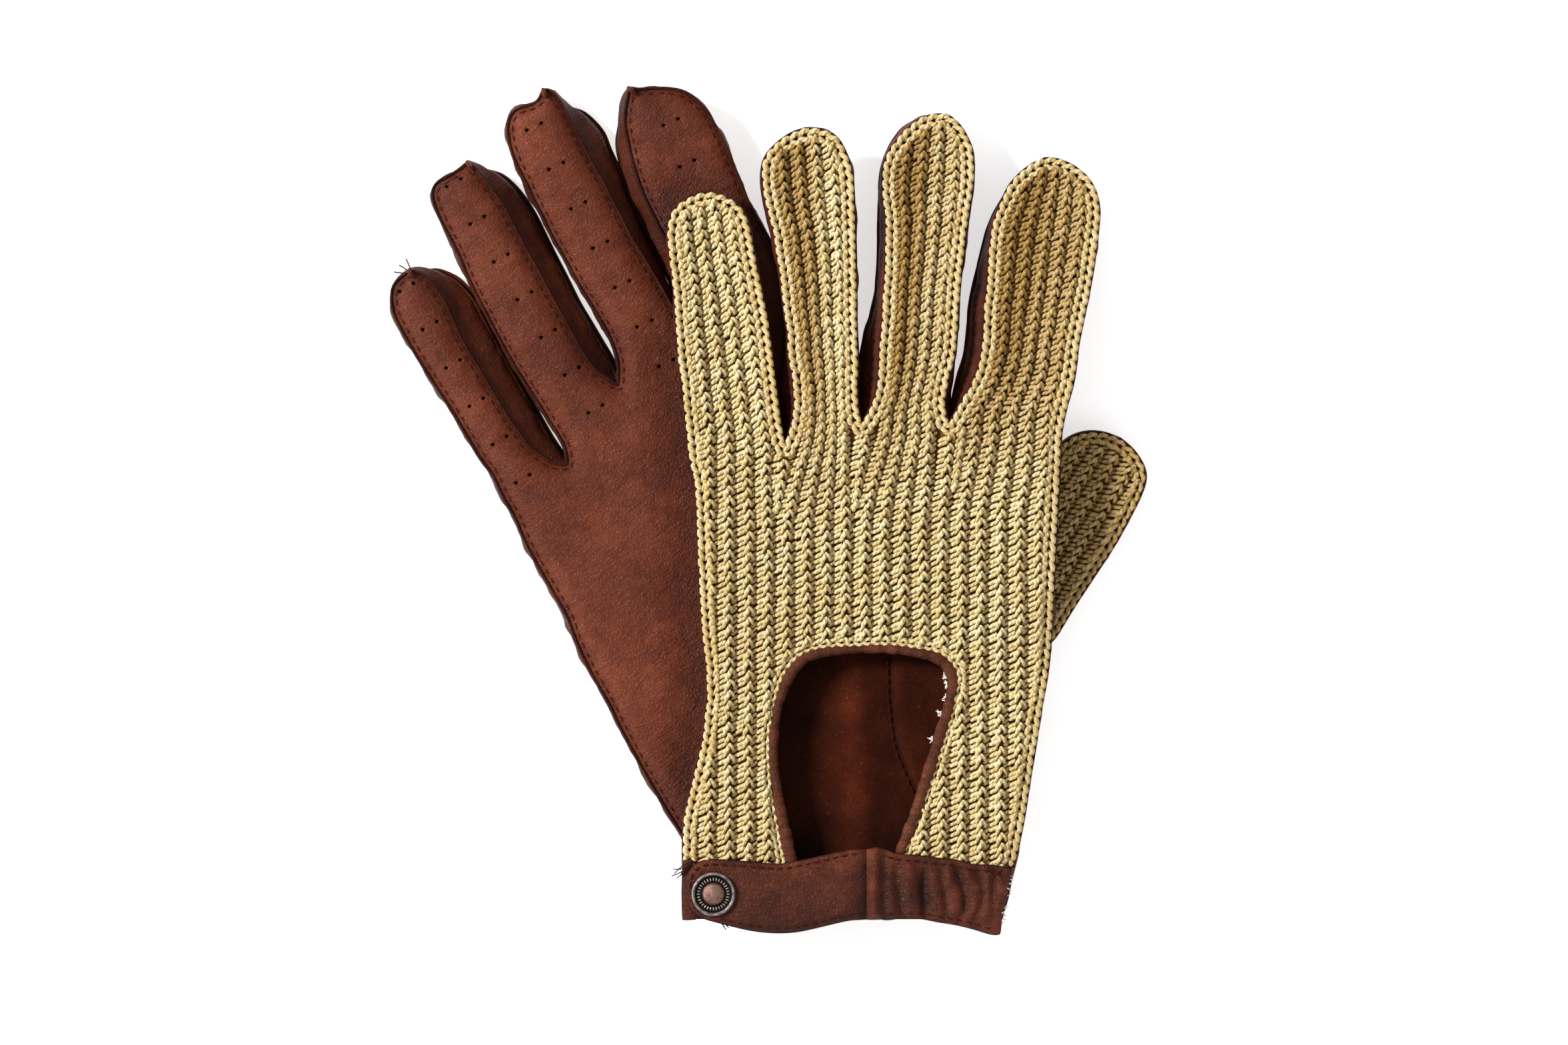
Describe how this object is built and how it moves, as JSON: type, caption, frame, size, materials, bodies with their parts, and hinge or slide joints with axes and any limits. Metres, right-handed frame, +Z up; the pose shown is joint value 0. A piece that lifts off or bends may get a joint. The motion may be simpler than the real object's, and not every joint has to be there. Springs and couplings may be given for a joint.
{
  "type": "driving gloves",
  "caption": "Leather driving gloves with crocheted backs, keyhole wrist openings and snap straps, the left lying back up across the right, which lies palm up.",
  "frame": {"origin": "centre of the bounding box in plan, on the table plane under the right glove's crocheted back", "axes": "+Z up from the table, +Y from the left glove's wrist to its fingertips, +X to the left glove's thumb"},
  "size_m": [0.2154, 0.2416, 0.0242],
  "materials": {
    "leather": "smooth chestnut brown nappa, soft sheen",
    "fourchette_leather": "smooth dark chestnut nappa, soft sheen",
    "crochet": "matte straw-coloured mercerised cotton crochet, ribbed",
    "elastic": "matte woven elastic tape",
    "snap_metal": "antiqued copper, brushed rim and worn high spots"
  },
  "bodies": {
    "right_hand": {"right_palm_leather": "leather", "right_crochet_back": "crochet", "right_palm_edge_wrap": "fourchette_leather", "right_fourchettes": "fourchette_leather", "right_keyhole_binding": "leather", "right_cuff_band": "leather", "right_cuff_elastic": "elastic", "right_snap_tab": "leather", "right_palm_hem": "leather", "right_thumb_gusset": "fourchette_leather", "right_snap_stud": "snap_metal", "right_snap_post": "snap_metal"},
    "right_strap": {"right_wrist_strap": "leather", "right_snap_cap": "snap_metal", "right_snap_socket": "snap_metal"},
    "right_pinky_tip": {"right_pinky_front": "leather", "right_pinky_back": "crochet", "right_pinky_fourchettes": "fourchette_leather"},
    "right_ring_tip": {"right_ring_front": "leather", "right_ring_back": "crochet", "right_ring_fourchettes": "fourchette_leather"},
    "right_middle_tip": {"right_middle_front": "leather", "right_middle_back": "crochet", "right_middle_fourchettes": "fourchette_leather"},
    "right_index_tip": {"right_index_front": "leather", "right_index_back": "crochet", "right_index_fourchettes": "fourchette_leather"},
    "right_thumb": {"right_thumb_leather": "leather", "right_thumb_back": "crochet"},
    "left_hand": {"left_palm_leather": "leather", "left_crochet_back": "crochet", "left_palm_edge_wrap": "fourchette_leather", "left_fourchettes": "fourchette_leather", "left_keyhole_binding": "leather", "left_cuff_band": "leather", "left_cuff_elastic": "elastic", "left_snap_tab": "leather", "left_palm_hem": "leather", "left_thumb_gusset": "fourchette_leather", "left_snap_stud": "snap_metal", "left_snap_post": "snap_metal"},
    "left_strap": {"left_wrist_strap": "leather", "left_snap_cap": "snap_metal", "left_snap_socket": "snap_metal"},
    "left_pinky_tip": {"left_pinky_front": "leather", "left_pinky_back": "crochet", "left_pinky_fourchettes": "fourchette_leather"},
    "left_ring_tip": {"left_ring_front": "leather", "left_ring_back": "crochet", "left_ring_fourchettes": "fourchette_leather"},
    "left_middle_tip": {"left_middle_front": "leather", "left_middle_back": "crochet", "left_middle_fourchettes": "fourchette_leather"},
    "left_index_tip": {"left_index_front": "leather", "left_index_back": "crochet", "left_index_fourchettes": "fourchette_leather"},
    "left_thumb": {"left_thumb_leather": "leather", "left_thumb_back": "crochet"}
  },
  "joints": [
    {"name": "left_glove_lift", "type": "slide", "parent": "right_hand", "child": "left_hand", "axis": [0, 0, 1], "range_m": [0, 0.15]},
    {"name": "right_pinky_bend", "type": "hinge", "parent": "right_hand", "child": "right_pinky_tip", "pos_m": [-0.07937, 0.02865, 0.0083], "axis": [0.8631, 0.505, 0], "range_deg": [0, 75]},
    {"name": "right_ring_bend", "type": "hinge", "parent": "right_hand", "child": "right_ring_tip", "pos_m": [-0.06325, 0.0497, 0.0083], "axis": [0.8762, 0.482, 0], "range_deg": [0, 75]},
    {"name": "right_middle_bend", "type": "hinge", "parent": "right_hand", "child": "right_middle_tip", "pos_m": [-0.0425, 0.06636, 0.0083], "axis": [0.9046, 0.4262, 0], "range_deg": [0, 75]},
    {"name": "right_index_bend", "type": "hinge", "parent": "right_hand", "child": "right_index_tip", "pos_m": [-0.0216, 0.09099, 0.0083], "axis": [0.9109, 0.4126, 0], "range_deg": [0, 75]},
    {"name": "right_strap_open", "type": "hinge", "parent": "right_hand", "child": "right_strap", "pos_m": [0.02688, -0.08585, 0.0012], "axis": [0.4695, -0.8829, 0], "range_deg": [0, 150]},
    {"name": "right_thumb_swing", "type": "hinge", "parent": "right_hand", "child": "right_thumb", "pos_m": [0.04296, -0.00255, 0.00475], "axis": [0, 0, 1], "range_deg": [0, 18]},
    {"name": "left_pinky_bend", "type": "hinge", "parent": "left_hand", "child": "left_pinky_tip", "pos_m": [-0.01232, 0.04217, 0.0199], "axis": [0.9936, 0.1131, 0], "range_deg": [0, 75]},
    {"name": "left_ring_bend", "type": "hinge", "parent": "left_hand", "child": "left_ring_tip", "pos_m": [0.01473, 0.05079, 0.0199], "axis": [0.9985, 0.0545, 0], "range_deg": [0, 75]},
    {"name": "left_middle_bend", "type": "hinge", "parent": "left_hand", "child": "left_middle_tip", "pos_m": [0.04171, 0.05574, 0.0199], "axis": [0.9969, -0.0786, 0], "range_deg": [0, 75]},
    {"name": "left_index_bend", "type": "hinge", "parent": "left_hand", "child": "left_index_tip", "pos_m": [0.07311, 0.05071, 0.0199], "axis": [0.9851, -0.1721, 0], "range_deg": [0, 75]},
    {"name": "left_strap_open", "type": "hinge", "parent": "left_hand", "child": "left_strap", "pos_m": [0.02962, -0.10916, 0.023], "axis": [0, 1, 0], "range_deg": [0, 150]},
    {"name": "left_thumb_swing", "type": "hinge", "parent": "left_hand", "child": "left_thumb", "pos_m": [0.07102, -0.02996, 0.00475], "axis": [0, 0, 1], "range_deg": [-35, 0]}
  ]
}
